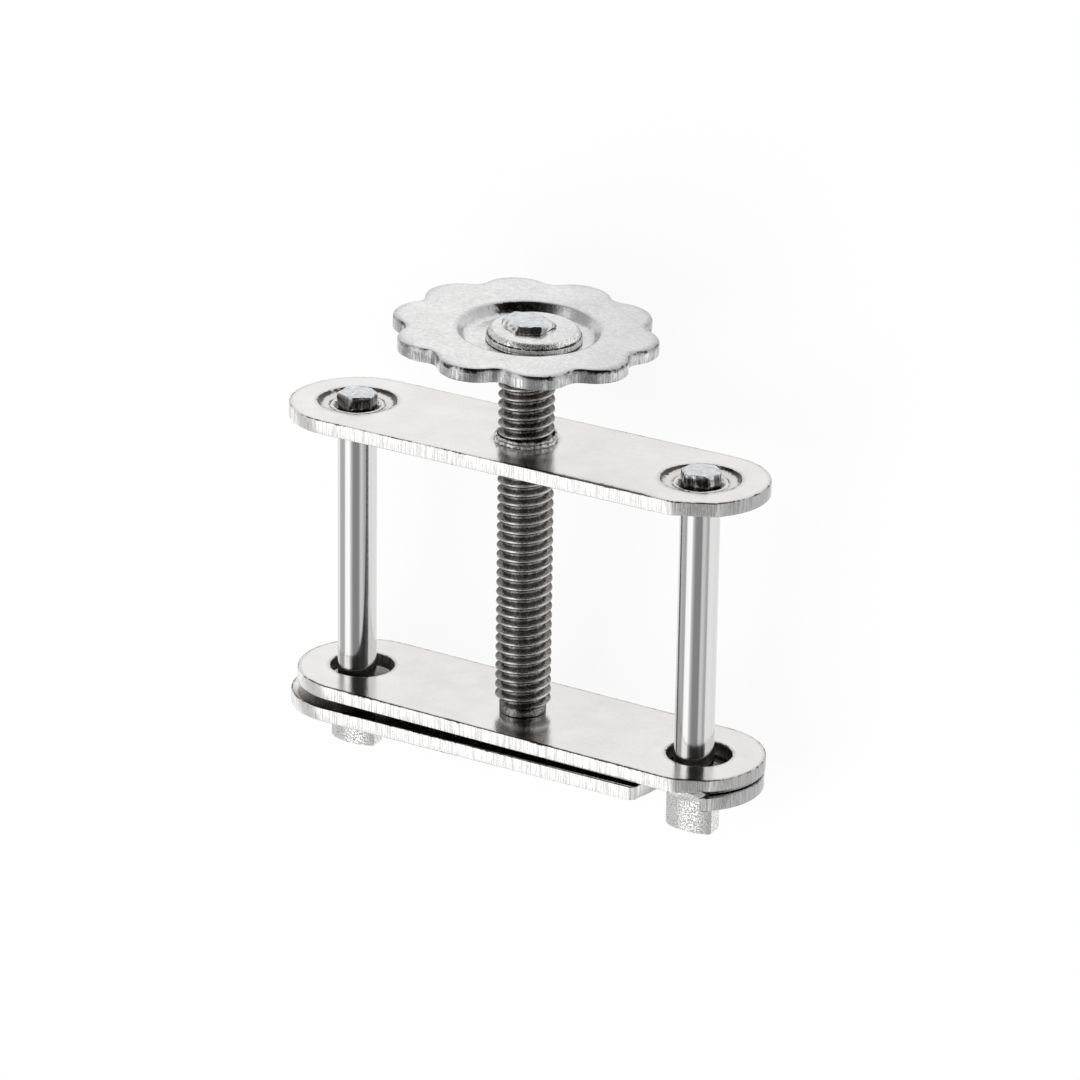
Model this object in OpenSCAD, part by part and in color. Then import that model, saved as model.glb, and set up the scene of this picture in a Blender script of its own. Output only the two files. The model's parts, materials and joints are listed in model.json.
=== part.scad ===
// Tubing pinch clamp with a swing-out base plate.
// A screw with a stamped hand wheel drives a loose jaw plate down two riveted posts.
// Each piece is made upright, with the screw up the Z axis and the ends of the posts at Z = 0.
// The clamp is then laid on its back, as it comes to rest on a bench, with Z = 0 at the bench.

/* [Plates] */
// Distance between the axes of the two posts
post_gap = 28; // [22:0.5:40]
// Width of the plates, which is also the diameter of their round ends
plate_w = 10; // [8:0.2:14]
// Thickness of the sheet that the three plates are sheared from
plate_t = 1; // [0.8:0.05:1.6]
// Distance from a post's axis to the end of the top plate and of the base plate
plate_end = 4.8; // [4.2:0.1:6]
// Distance from a post's axis to the end of the jaw plate
jaw_end = 4.6; // [4.2:0.1:6]
// Free height between the top plate and the base plate
open_h = 20.8; // [14:0.2:30]

/* [Posts] */
// Diameter of the round posts
post_d = 2.8; // [2.2:0.1:3.6]
// Diameter of the turned tenon that passes through the top plate
tenon_d = 2; // [1.6:0.1:2.1]
// Width of the peened head on the tenon
head_d = 2.95; // [2.5:0.05:3.6]
// Height of the peened head above the top plate
head_h = 0.95; // [0.6:0.05:1.6]
// Room between the peened head and the small raised bead round it
head_room = 0.1; // [0.05:0.05:0.3]
// Width of that raised bead
bead_w = 0.35; // [0.2:0.05:0.6]
// Width of the flat ring that the riveting tool presses into the top plate, outside the bead
ring_w = 0.9; // [0.4:0.05:1.4]
// Depth of that pressed ring
ring_dp = 0.14; // [0.08:0.02:0.3]

/* [Flattened feet] */
// Height of the flattened ends below the base plate
foot_h = 3.2; // [2.4:0.1:5]
// How far the flattening spreads an end beyond the post, on each side along the plates
foot_spread = 0.425; // [0.3:0.025:0.8]
// Size of the broken bottom corners of the flattened ends
foot_corner = 0.25; // [0.1:0.05:0.5]
// Thickness of the flattened ends at their middle
foot_t = 1.8; // [1.4:0.05:2.1]
// Thickness of the flattened ends at their narrow edges
foot_edge_t = 1.1; // [0.7:0.05:1.3]
// Height over which the round post turns into the flat end
foot_blend = 0.9; // [0.5:0.1:1.4]

/* [Base plate] */
// Running clearance round the post that the base plate swings on
swing_clear = 0.08; // [0.03:0.01:0.1]
// Gap under the base plate, above the shoulders of the flattened ends
seat_gap = 0.04; // [0.01:0.01:0.1]
// Clearance between the post and the wall of the notch that runs along its path
notch_clear = 0.06; // [0.04:0.01:0.3]
// Spare width of the notch beyond the post, which rounds its back
notch_spare = 0.3; // [0.1:0.05:0.6]
// Spare room in the notch behind the post
notch_back = 0.55; // [0.3:0.05:1.2]
// Width of the notch's mouth beyond the post, towards the free end
notch_flare = 1.45; // [0.6:0.05:1.7]
// Size of the bevel on the corner of the notch's mouth
notch_bevel = 0.35; // [0.2:0.05:0.9]
// Angle by which the play at the left post lets the free end rise, in degrees
base_tip = 0.3; // [0:0.05:0.4]

/* [Jaw plate] */
// Gap between the jaw plate and the base plate with the screw run down
jaw_gap = 0.4; // [0.2:0.05:2]
// Play of the jaw plate's guide holes, all round a post
guide_play = 0.9; // [0.6:0.05:1.2]
// How far the loose jaw plate hangs towards the free end
jaw_drift_x = 0.15; // [0:0.05:0.2]
// How far the loose jaw plate hangs back from the screw's line
jaw_drift_y = 0.45; // [0:0.05:0.5]
// Angle at which the loose jaw plate hangs down towards the free end, in degrees
jaw_tip = 0.45; // [0:0.05:0.6]

/* [Screw] */
// Outer diameter of the screw thread
screw_d = 3.95; // [3.5:0.05:4.4]
// Pitch of the screw thread
pitch = 0.7; // [0.5:0.05:0.8]
// Depth of the thread
thread_dp = 0.4; // [0.25:0.01:0.45]
// Clearance between the thread and the hole in the top plate
screw_clear = 0.06; // [0.03:0.01:0.1]
// Height of the low collar round that hole
collar_h = 0.6; // [0.3:0.05:1.2]
// Wall of the low collar
collar_wall = 0.2; // [0.15:0.05:0.6]
// Diameter of the plain shoulder that presses on the jaw plate
shoulder_d = 3.3; // [2.9:0.1:3.4]
// Height of the plain shoulder
shoulder_h = 0.5; // [0.3:0.05:1]
// Diameter of the neck that turns in the jaw plate
neck_d = 2.3; // [1.8:0.1:2.6]
// Clearance round the neck in the jaw plate
neck_clear = 0.06; // [0.03:0.01:0.1]
// Diameter of the flared end of the neck, under the jaw plate
flare_d = 3.4; // [3:0.1:4]
// Height of the flared end
flare_h = 0.45; // [0.3:0.05:0.6]
// Height of the straight lip at the foot of the flare
flare_lip = 0.12; // [0.05:0.01:0.2]
// Gap above and below the jaw plate where the neck is held
hold_gap = 0.03; // [0.01:0.01:0.08]

/* [Hand wheel] */
// Height of the wheel's rim above the top plate
wheel_h = 8.2; // [6:0.1:12]
// Diameter of the wheel over its lobes
wheel_d = 18.3; // [16:0.1:24]
// Number of lobes round the wheel
lobes = 10; // [8:1:14]
// Depth of the hollows between the lobes
lobe_dp = 0.97; // [0.6:0.01:1.2]
// Radius of the hollows between the lobes
hollow_r = 1.2; // [0.6:0.1:1.6]
// Thickness of the sheet that the wheel is stamped from
wheel_t = 1; // [0.7:0.05:1.4]
// Outer diameter of the dished middle
dish_d = 10.1; // [9:0.1:12]
// Depth of the dished middle
dish_dp = 0.85; // [0.5:0.05:1.2]
// How far the edge of the rim is turned down
rim_drop = 0.1; // [0.05:0.05:0.6]
// Width of the turned-down edge of the rim
rim_turn = 0.9; // [0.6:0.1:2]
// Lean of the wheel where it is riveted on the screw, in degrees
wheel_lean = 2.7; // [0:0.1:5]
// Direction in which the wheel leans, in degrees from the free end
lean_to = -25; // [-180:5:180]
// Turn of the lobes from the free end, in degrees
wheel_turn = 18.5; // [0:0.5:36]

/* [Wheel rivet] */
// Diameter of the screw's spigot inside the wheel
spigot_d = 2.8; // [2.4:0.1:3.2]
// Diameter of the washer on the floor of the dish
washer_d = 6.7; // [5.6:0.1:7]
// Thickness of the washer
washer_t = 0.85; // [0.5:0.05:1.2]
// Width of the step round the washer's top
washer_step = 0.35; // [0.2:0.05:0.6]
// Distance of the washer's hole from its middle, since it is punched off centre
washer_off = 0.5; // [0:0.05:0.7]
// Room between the washer and the sloping wall of the dish
washer_room = 0.05; // [0.02:0.01:0.2]
// Width of the riveted end of the screw above the washer
rivet_d = 3.8; // [3.2:0.1:4.2]
// Height of the riveted end
rivet_h = 0.85; // [0.5:0.05:1.4]

/* [Hidden] */
$fn = 96;
far = 100;
cut = 0.5;
rim_over = 0.01;

post_x = post_gap / 2;
base_z = foot_h;
shoulder_z = base_z - seat_gap;
foot_r = post_d / 2 + foot_spread;
base_top = base_z + plate_t;
jaw_z = base_top + jaw_gap;
jaw_top = jaw_z + plate_t;
top_z = base_top + open_h;
top_face = top_z + plate_t;
lobe_step = 360 / lobes;
wheel_tip = wheel_d / 2;
wheel_root = wheel_tip - lobe_dp;
// the arc of a lobe runs smoothly into the arcs of the hollows on both sides of it
hollow_mid = wheel_root + hollow_r;
lobe_mid = (pow(wheel_tip + hollow_r, 2) - pow(hollow_mid, 2))
    / (2 * (wheel_tip + hollow_r - hollow_mid * cos(lobe_step / 2)));
lobe_r = wheel_tip - lobe_mid;

// Steel colours
nickel = [0.80, 0.79, 0.77];
nickel_dark = [0.74, 0.73, 0.71];
rod_steel = [0.66, 0.66, 0.67];
screw_steel = [0.48, 0.48, 0.48];
wheel_steel = [0.77, 0.77, 0.78];

// Flat outline with round ends, reaching past each post by the given amount
module plate_outline(past) {
    run = post_x + past - plate_w / 2;
    translate([-run, -plate_w / 2]) square([2 * run, plate_w]);
    for (side = [-1, 1]) translate([side * run, 0]) circle(d = plate_w);
}

// ---- Top plate: sheet, riveting rings, tenon holes and the collared screw hole ----
module top_plate() {
    hole_d = screw_d + 2 * screw_clear;
    color(nickel) difference() {
        union() {
            translate([0, 0, top_z]) linear_extrude(plate_t) plate_outline(plate_end);
            translate([0, 0, top_face - cut]) cylinder(d = hole_d + 2 * collar_wall, h = cut + collar_h);
        }
        for (side = [-1, 1]) translate([side * post_x, 0, 0]) {
            translate([0, 0, top_z - cut]) cylinder(d = tenon_d, h = plate_t + 2 * cut);
            riveting_ring();
        }
        translate([0, 0, top_z - cut]) cylinder(d = hole_d, h = plate_t + collar_h + 2 * cut);
    }
}

// The pressed ring round a head, with the bead left standing in it
module riveting_ring() {
    bead_h = ring_dp * 0.7;
    floor_z = top_face - ring_dp;
    bead_in = head_d / 2 + head_room;
    bead_out = bead_in + bead_w;
    ring_r = bead_out + ring_w;
    rotate_extrude() polygon([
        [0, floor_z], [bead_in, floor_z], [bead_in + bead_w / 2, floor_z + bead_h],
        [bead_out, floor_z], [ring_r - ring_dp, floor_z], [ring_r, top_face],
        [ring_r, top_face + cut], [0, top_face + cut]]);
}

// ---- Posts: peened head, tenon, round rod and flattened foot, all one piece ----
module post(side, head_turn) {
    floor_z = top_face - ring_dp;
    color(rod_steel) translate([side * post_x, 0, 0]) {
        translate([0, 0, floor_z]) rotate(head_turn) peened_head(head_d, head_h + ring_dp);
        translate([0, 0, top_z - cut]) cylinder(d = tenon_d, h = plate_t + cut - ring_dp);
        translate([0, 0, shoulder_z]) cylinder(d = post_d, h = top_z - shoulder_z);
        flattened_foot();
    }
}

// A rivet head hammered to six rough faces, domed a little at the top
module peened_head(d, h) {
    across_corners = d * 1.09;
    edge_r = d * 0.507;
    dome = d * 0.07;
    intersection() {
        cylinder(d = across_corners, h = h, $fn = 6);
        rotate_extrude() polygon([[0, 0], [edge_r, 0], [edge_r, h - dome * 1.5],
            [edge_r - dome, h - dome * 0.4], [edge_r / 2, h], [0, h]]);
    }
}

// The post's lower end: a rod squeezed between two shallow dies and cut off square
module flattened_foot() {
    full_z = shoulder_z - foot_blend;
    // the blank, round where it leaves the post and thinner below
    intersection() {
        cylinder(d = post_d, h = shoulder_z);
        side_taper(post_d, foot_t, shoulder_z, full_z);
    }
    // the squeezed blade, wider than the post
    intersection() {
        linear_extrude(shoulder_z) foot_plan();
        front_flare();
    }
}

// Lens with two flat narrow edges, the section of a flattened foot
module foot_plan() {
    rise = (foot_t - foot_edge_t) / 2;
    bow_r = (foot_r * foot_r + rise * rise) / (2 * rise);
    intersection() {
        square([2 * foot_r, 2 * foot_t], center = true);
        translate([0, foot_t / 2 - bow_r]) circle(r = bow_r, $fn = 360);
        translate([0, bow_r - foot_t / 2]) circle(r = bow_r, $fn = 360);
    }
}

// Block that narrows along Y from the post's diameter to the foot's thickness
module side_taper(top_t, low_t, top_at, low_at) {
    rotate([90, 0, 90]) linear_extrude(2 * post_d, center = true) polygon([
        [-top_t / 2, top_at], [-low_t / 2, low_at], [-low_t / 2, 0],
        [low_t / 2, 0], [low_t / 2, low_at], [top_t / 2, top_at]]);
}

// Block that widens along X under the shoulder and has its bottom corners broken
module front_flare() {
    ledge = post_d / 2 + foot_spread * 0.6;
    full_z = shoulder_z - foot_spread * 0.8;
    toe = foot_r - foot_corner * 0.6;
    rotate([90, 0, 0]) linear_extrude(2 * post_d, center = true) polygon([
        [-ledge, shoulder_z], [-foot_r, full_z], [-foot_r, foot_corner], [-toe, 0],
        [toe, 0], [foot_r, foot_corner], [foot_r, full_z], [ledge, shoulder_z]]);
}

module left_post() { post(-1, 12); }
module right_post() { post(1, 41); }

// ---- Base plate: swings on the left post and hooks round the right one ----
module base_plate() {
    color(nickel_dark) translate([-post_x, 0, base_z]) rotate([0, -base_tip, 0])
        linear_extrude(plate_t) difference() {
            translate([post_x, 0]) plate_outline(plate_end);
            circle(d = post_d + 2 * swing_clear);
            translate([post_x, 0]) hook_notch();
        }
}

// The notch follows the post's path on one side and flares to the free end on the other
module hook_notch() {
    wall_r = post_gap - post_d / 2 - notch_clear;
    back_r = post_d / 2 + notch_clear + notch_spare / 2;
    edge_y = -plate_w / 2;
    wall_x = sqrt(wall_r * wall_r - edge_y * edge_y) - post_x;
    inner_x = wall_r - post_x;
    end_x = inner_x + 2 * back_r;
    end_y = notch_back + post_d / 2 - back_r;
    mouth_x = post_x + post_d / 2 + notch_flare;
    difference() {
        union() {
            polygon([[wall_x - cut, edge_y - cut], [wall_x - cut, end_y], [end_x, end_y], [end_x, 0],
                [mouth_x, edge_y * 0.7], [mouth_x, edge_y - cut]]);
            translate([inner_x + back_r, end_y]) circle(r = back_r);
        }
        // the wall beside the post's path is an arc about the left post
        translate([-post_x, 0]) circle(r = wall_r, $fn = 360);
    }
    polygon([[wall_x - notch_bevel, edge_y], [wall_x, edge_y + notch_bevel],
        [wall_x + cut, edge_y + notch_bevel], [wall_x + cut, edge_y - cut],
        [wall_x - notch_bevel, edge_y - cut]]);
}

// ---- Jaw plate: slides loosely on the posts and hangs on the screw's neck ----
module jaw_plate() {
    guide_d = post_d + 2 * guide_play;
    neck_hole_r = neck_d / 2 + neck_clear;
    sink_r = flare_d / 2 + 2 * neck_clear;
    sink_z = flare_h + 2 * hold_gap;
    color(nickel) translate([0, 0, jaw_z]) rotate([0, jaw_tip, 0]) difference() {
        translate([jaw_drift_x, jaw_drift_y, 0]) linear_extrude(plate_t) difference() {
            plate_outline(jaw_end);
            for (side = [-1, 1]) translate([side * post_x, 0]) circle(d = guide_d);
        }
        translate([0, 0, -cut]) cylinder(r = neck_hole_r, h = plate_t + 2 * cut);
        // countersink for the flared end of the neck
        rotate_extrude() polygon([
            [0, -cut], [sink_r, -cut], [sink_r, flare_lip], [neck_hole_r, sink_z], [0, sink_z]]);
    }
}

// ---- Clamp screw: thread, shoulder, neck and flare in one turned piece ----
module clamp_screw() {
    thread_z = jaw_top + hold_gap + shoulder_h;
    color(screw_steel) {
        difference() {
            rotate_extrude() polygon(thread_profile(thread_z, wheel_seat_z()));
            // the top of the thread is faced off square to the leaning wheel
            on_wheel_axis() translate([0, 0, -wheel_drop()]) cylinder(d = 3 * screw_d, h = far);
        }
        rotate_extrude() polygon([
            [0, jaw_z + hold_gap], [flare_d / 2, jaw_z + hold_gap], [flare_d / 2, jaw_z + flare_lip],
            [neck_d / 2, jaw_z + flare_h], [neck_d / 2, jaw_top + hold_gap],
            [shoulder_d / 2, jaw_top + hold_gap], [shoulder_d / 2, thread_z + cut], [0, thread_z + cut]]);
        on_wheel_axis() translate([0, 0, -wheel_drop() - cut])
            cylinder(d = spigot_d, h = cut + wheel_t + washer_t);
        on_wheel_axis() translate([0, 0, washer_t - dish_dp]) rotate(20) peened_head(rivet_d, rivet_h);
    }
}

// Half outline of the thread, a row of rings at the true pitch, from z0 up to z1
function thread_profile(z0, z1) = let (
    r = screw_d / 2, core = r - thread_dp, plain_r = r - thread_dp / 8, flat = pitch / 8,
    turns = floor((z1 - z0 - thread_dp) / pitch))
    concat([[0, z0], [core, z0]],
        [for (k = [0 : turns - 1], p = [
            [core, k * pitch + flat],
            [r, (k + 0.5) * pitch - flat / 2],
            [r, (k + 0.5) * pitch + flat / 2],
            [core, (k + 1) * pitch - flat]]) [p[0], z0 + p[1]]],
        [[core, z0 + turns * pitch], [plain_r, z0 + turns * pitch + thread_dp], [plain_r, z1], [0, z1]]);

// How far the wheel's underside at its middle lies below the top of its rim
function wheel_drop() = dish_dp + wheel_t;
// Height of a level plane that clears the leaning underside of the wheel
function wheel_seat_z() = top_face + wheel_h - wheel_drop() + cut;

// Places its children on the wheel's own axis, with Z = 0 at the top of the rim
module on_wheel_axis() {
    translate([0, 0, top_face + wheel_h - wheel_drop()]) rotate(lean_to) rotate([0, wheel_lean, 0])
        rotate(-lean_to) translate([0, 0, wheel_drop()]) children();
}

// ---- Hand wheel: stamped from sheet, lobed, dished in the middle, rim turned down ----
module hand_wheel() {
    color(wheel_steel) on_wheel_axis() difference() {
        intersection() {
            translate([0, 0, -far / 2]) linear_extrude(far) rotate(wheel_turn) lobed_outline();
            rotate_extrude() polygon(wheel_section());
        }
        translate([0, 0, -far / 2]) cylinder(d = spigot_d, h = far);
    }
}

// Round lobes side by side, with a round hollow between each two
module lobed_outline() {
    difference() {
        polygon([for (k = [0 : lobes - 1], end = [[lobe_mid, 0], [hollow_mid, lobe_step / 2]])
            end[0] * [cos(lobe_step * k + end[1]), sin(lobe_step * k + end[1])]]);
        for (k = [0 : lobes - 1]) rotate(lobe_step * (k + 0.5)) translate([hollow_mid, 0]) circle(r = hollow_r);
    }
    for (k = [0 : lobes - 1]) rotate(lobe_step * k) translate([lobe_mid, 0]) circle(r = lobe_r);
}

// Half section of the wheel's sheet, from the hub out to the turned-down rim
function wheel_section() = let (
    tip = wheel_tip + rim_over, turn_r = tip - rim_turn, brim = dish_d / 2,
    floor_r = washer_d / 2 + washer_off + washer_room,
    slope = wheel_t * (brim - floor_r) / (brim - floor_r + dish_dp)) [
    [0, -dish_dp], [floor_r, -dish_dp], [brim, 0], [turn_r, 0],
    [turn_r + rim_turn * 0.6, -rim_drop * 0.35], [tip, -rim_drop], [tip, -rim_drop - wheel_t],
    [turn_r, -wheel_t], [brim + slope * 0.4, -wheel_t],
    [floor_r + slope * 0.4, -dish_dp - wheel_t], [0, -dish_dp - wheel_t]];

// ---- Wheel washer: thick two-step washer under the riveted end ----
module wheel_washer() {
    r = washer_d / 2;
    waist_r = r - washer_step / 3;
    color(nickel) on_wheel_axis() translate([0, 0, -dish_dp]) difference() {
        translate([washer_off, 0, 0]) rotate_extrude() polygon([
            [0, 0], [r, 0], [r, washer_t * 0.45], [waist_r, washer_t * 0.52],
            [waist_r, washer_t * 0.62], [r - washer_step, washer_t], [0, washer_t]]);
        translate([0, 0, -cut]) cylinder(d = spigot_d, h = washer_t + 2 * cut);
    }
}

// ---- At rest: the clamp lies on its back, on one lobe of the wheel and the edge of a plate ----
// A point of the upright wheel, given on its own axis with Z = 0 at the top of the rim
function on_wheel(p) = let (
    turned = [p[0] * cos(lean_to) + p[1] * sin(lean_to), p[1] * cos(lean_to) - p[0] * sin(lean_to)],
    out = turned[0] * cos(wheel_lean) + (p[2] + wheel_drop()) * sin(wheel_lean),
    up = (p[2] + wheel_drop()) * cos(wheel_lean) - turned[0] * sin(wheel_lean)) [
    out * cos(lean_to) - turned[1] * sin(lean_to), out * sin(lean_to) + turned[1] * cos(lean_to),
    top_face + wheel_h - wheel_drop() + up];

// The backmost point of the lobed outline at a height on the wheel's own axis
function lobe_back(z) = let (
    toward = wheel_turn + lobe_step * round((90 - wheel_turn) / lobe_step))
    on_wheel([lobe_mid * cos(toward), lobe_mid * sin(toward) + lobe_r, z]);

// The angle from upright plates to the bench, which the wheel and the first plate to touch it set
function rest_tilt() = let (
    lobe = lobe_back(-rim_drop - wheel_t),
    jaw_low = jaw_z - (post_x + jaw_end - plate_w / 2) * sin(jaw_tip),
    jaw_back = jaw_drift_y + plate_w / 2)
    min(atan2(lobe[1] - jaw_back, lobe[2] - jaw_low), atan2(lobe[1] - plate_w / 2, lobe[2] - base_z));

// How far along the bench and how high above it an upright point comes to lie
function along(p) = p[1] * sin(rest_tilt()) + p[2] * cos(rest_tilt());
function above(p) = p[2] * sin(rest_tilt()) - p[1] * cos(rest_tilt());

// Lays its upright children on the bench, with the clamp's middle at the origin
module laid_down() {
    far_end = max(along(lobe_back(-rim_drop)), along(on_wheel([0, 0, washer_t + rivet_h - dish_dp])));
    near_end = along([0, -foot_t / 2, 0]);
    translate([0, -(far_end + near_end) / 2, -above(lobe_back(-rim_drop - wheel_t))])
        rotate([rest_tilt() - 90, 0, 0]) children();
}

laid_down() top_plate();
laid_down() left_post();
laid_down() right_post();
laid_down() base_plate();
laid_down() jaw_plate();
laid_down() clamp_screw();
laid_down() hand_wheel();
laid_down() wheel_washer();
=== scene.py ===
import json
import math
import bmesh
import bpy
from mathutils import Matrix, Vector, noise


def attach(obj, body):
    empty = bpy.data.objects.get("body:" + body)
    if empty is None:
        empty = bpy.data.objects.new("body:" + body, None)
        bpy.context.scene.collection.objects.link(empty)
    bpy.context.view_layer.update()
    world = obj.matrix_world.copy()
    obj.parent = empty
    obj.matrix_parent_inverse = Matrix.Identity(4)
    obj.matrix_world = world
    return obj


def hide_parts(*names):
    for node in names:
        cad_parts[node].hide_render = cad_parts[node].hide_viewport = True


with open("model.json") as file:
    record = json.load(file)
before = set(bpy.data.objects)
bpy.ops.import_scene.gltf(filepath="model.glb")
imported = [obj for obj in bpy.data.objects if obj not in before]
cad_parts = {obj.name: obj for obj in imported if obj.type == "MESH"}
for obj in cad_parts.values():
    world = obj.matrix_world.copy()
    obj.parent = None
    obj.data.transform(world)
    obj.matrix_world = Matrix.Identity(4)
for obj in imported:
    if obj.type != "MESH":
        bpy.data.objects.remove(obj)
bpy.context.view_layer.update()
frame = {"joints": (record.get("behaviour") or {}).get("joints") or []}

# ---- The clamp on its back ----
# A small steel clamp that pinches rubber tubing: three sheet plates, two posts, and a screw with a
# stamped hand wheel. It lies on its back on a bench. Each piece is made upright in millimetres,
# with the screw up the Z axis and the post ends at zero, and is then laid on the screw's joint.
spin_joint = next(joint for joint in frame["joints"] if joint["name"] == "wheel_spin")
spin_height = 6.1
screw_up = Vector(spin_joint["axis"]).normalized()
along_plates = Vector((1, 0, 0))
laid = Matrix((along_plates, screw_up.cross(along_plates), screw_up)).transposed()
post_ends = Vector(spin_joint["pos_m"]) - laid @ Vector((0, 0, spin_height / 1000))
lay_down = Matrix.Translation(post_ends) @ laid.to_4x4() @ Matrix.Scale(0.001, 4)


def finish_piece(bm, name, body, cad_node, materials, crease=35):
    """Lays a finished upright mesh on the bench and shows it for its solid."""
    bmesh.ops.transform(bm, matrix=lay_down, verts=bm.verts)
    mesh = bpy.data.meshes.new(name)
    bm.to_mesh(mesh)
    bm.free()
    mesh.shade_smooth()
    mesh.set_sharp_from_angle(angle=math.radians(crease))
    for material in materials:
        mesh.materials.append(material)
    piece = bpy.data.objects.new(name, mesh)
    bpy.context.scene.collection.objects.link(piece)
    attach(piece, body)
    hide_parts(cad_node)
    return piece


# ---- Top plate ----
# A strip of 1 mm steel sheet with sheared sides and round ends, punched for the tenons of the two
# posts and drawn up into a thin threaded collar for the screw. The riveting tool has pressed a
# shallow ring with a raised bead round each tenon. The plate is nickel plated after shearing.
post_x = 14
plate_half = 5
plate_t = 1
plate_end = 4.8
top_z = 25
top_face = top_z + plate_t
rim_width = 0.35
ring_r = 2.825
collar_foot_r = 2.22
lip_h = 0.6
lip_torn = 0.16
lip_drawn_in = 0.02
head_sunk = 0.45
round_steps = 96


def walk(bm, start, *moves):
    """Lays a chain of edges by straight moves to (x, y) and by turns of (x, y, degrees)."""
    here = bm.verts.new((*start, 0))
    for move in moves:
        if len(move) == 2:
            here = bmesh.ops.extrude_vert_indiv(bm, verts=[here])["verts"][0]
            here.co = (*move, 0)
        else:
            x, y, turn = move
            arc = bmesh.ops.spin(bm, geom=[here], cent=(x, y, 0), axis=(0, 0, 1),
                                 angle=math.radians(turn),
                                 steps=max(2, round(abs(turn) * round_steps / 360)))
            here = next(g for g in arc["geom_last"] if isinstance(g, bmesh.types.BMVert))


def long_outline(bm, past, flat=None):
    """Straight sides and round ends that reach past the posts. A flat is where the punch has
    trimmed one round end straight, between two angles."""
    run = post_x + past - plate_half
    start, end = (math.radians(angle) for angle in flat or (-90, -90))
    walk(bm, (run, -plate_half), (run, 0, 90 + math.degrees(start)),
         (run + plate_half * math.cos(end), plate_half * math.sin(end)),
         (run, 0, 90 - math.degrees(end)), (-run, plate_half), (-run, 0, 180), (run, -plate_half))


def hole(bm, x, y, radius):
    """The round edge of a punched hole."""
    bmesh.ops.create_circle(bm, segments=round_steps, radius=radius,
                            matrix=Matrix.Translation((x, y, 0)))


def punch_sheet(bm, z, open_holes=(), bores=(), shaded_grip_side=0, soft=0.07):
    """Makes a flat sheet from its outlines, rounds its edges, and marks which points lie on a rim
    and how far up its edge. Walls of open holes are left out, for a turned shape to fill. Walls
    of bores get a dark material, painted shade inside the hole, and the side that grips the
    tubing gets a darker copy of the sheet, painted shade for the gap between the plates."""
    rim = bm.verts.layers.float.new("rim")
    across = bm.verts.layers.float.new("across")
    bmesh.ops.remove_doubles(bm, verts=bm.verts, dist=0.001)
    bmesh.ops.triangle_fill(bm, use_beauty=True, edges=bm.edges)
    bmesh.ops.inset_region(bm, faces=bm.faces, thickness=rim_width, use_even_offset=True,
                           use_boundary=True)
    for vert in bm.verts:
        vert[rim] = 1 if vert.is_boundary else -1
    # the middle is filled afresh, since its slivers fold over as the rims move in
    bmesh.ops.delete(bm, geom=[f for f in bm.faces if all(v[rim] < 0 for v in f.verts)],
                     context="FACES")
    bmesh.ops.triangle_fill(bm, use_beauty=True, edges=[
        e for e in bm.edges if e.is_boundary and all(v[rim] < 0 for v in e.verts)])
    raised = bmesh.ops.extrude_face_region(bm, geom=bm.faces)
    bmesh.ops.translate(bm, vec=(0, 0, plate_t),
                        verts=[g for g in raised["geom"] if isinstance(g, bmesh.types.BMVert)])
    bmesh.ops.recalc_face_normals(bm, faces=bm.faces)
    walls = [f for f in bm.faces if abs(f.normal.z) < 0.1]

    def inside(face, rounds):
        middle = face.calc_center_median().xy
        return any((middle - Vector((x, y))).length < r + 0.01 for x, y, r in rounds)

    bmesh.ops.delete(bm, geom=[f for f in walls if inside(f, open_holes)], context="FACES")
    sides = [f for f in bm.faces if abs(f.normal.z) < 0.1]
    for face in bm.faces:
        # the gripping side gets the darker copy, painted shade for the gap between the plates
        if face.normal.z * shaded_grip_side > 0.5:
            face.material_index = 3
    for face in sides:
        face.material_index = 2 if inside(face, bores) else 1
    rims = {e for f in sides for e in f.edges if abs(e.verts[0].co.z - e.verts[1].co.z) < 0.01}
    bmesh.ops.bevel(bm, geom=list(rims), offset=soft, affect="EDGES", segments=3, profile=0.5,
                    material=-1, clamp_overlap=True)
    for vert in bm.verts:
        vert[rim] = 0 if vert[rim] == -1 else 1
        vert[across] = vert.co.z / plate_t
    bmesh.ops.translate(bm, verts=bm.verts, vec=(0, 0, z))


def turn_profile(bm, points, x=0, y=0, material=0):
    """Spins a profile of (radius, height) points right round an upright axis. A third number at
    a point is how dark it is painted there, as dirt and as painted shade in hollows and creases."""
    rim = bm.verts.layers.float.get("rim") or bm.verts.layers.float.new("rim")
    verts = []
    for r, z, *soil_and_shade in points:
        verts.append(bm.verts.new((x + r, y, z)))
        verts[-1][rim] = soil_and_shade[0] if soil_and_shade else 0
    edges = [bm.edges.new(pair) for pair in zip(verts, verts[1:])]
    before = set(bm.faces)
    bmesh.ops.spin(bm, geom=verts + edges, cent=(x, y, 0), axis=(0, 0, 1), angle=math.tau,
                   steps=round_steps, use_merge=True)
    for face in set(bm.faces) - before:
        face.material_index = material


def close_up(bm):
    """Joins the parts of one mesh and turns its faces outwards."""
    bmesh.ops.remove_doubles(bm, verts=bm.verts, dist=0.0005)
    bmesh.ops.recalc_face_normals(bm, faces=bm.faces)


def node(tree, kind, ports=None, **settings):
    """Adds a shader node, with a value or a feeding socket for each named port."""
    made = tree.nodes.new("ShaderNode" + kind)
    for name, value in settings.items():
        setattr(made, name, value)
    for port, value in (ports or {}).items():
        if isinstance(value, bpy.types.NodeSocket):
            tree.links.new(value, made.inputs[port])
        else:
            made.inputs[port].default_value = value
    return made


def calc(tree, operation, *values):
    """One step of arithmetic on values or sockets."""
    return node(tree, "Math", dict(enumerate(values)), operation=operation).outputs[0]


def fade(tree, value, start, end, low=0.0, high=1.0):
    """Carries a value from one range to another, and holds it at both ends."""
    return node(tree, "MapRange", {"Value": value, "From Min": start, "From Max": end,
                                   "To Min": low, "To Max": high}).outputs[0]


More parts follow.
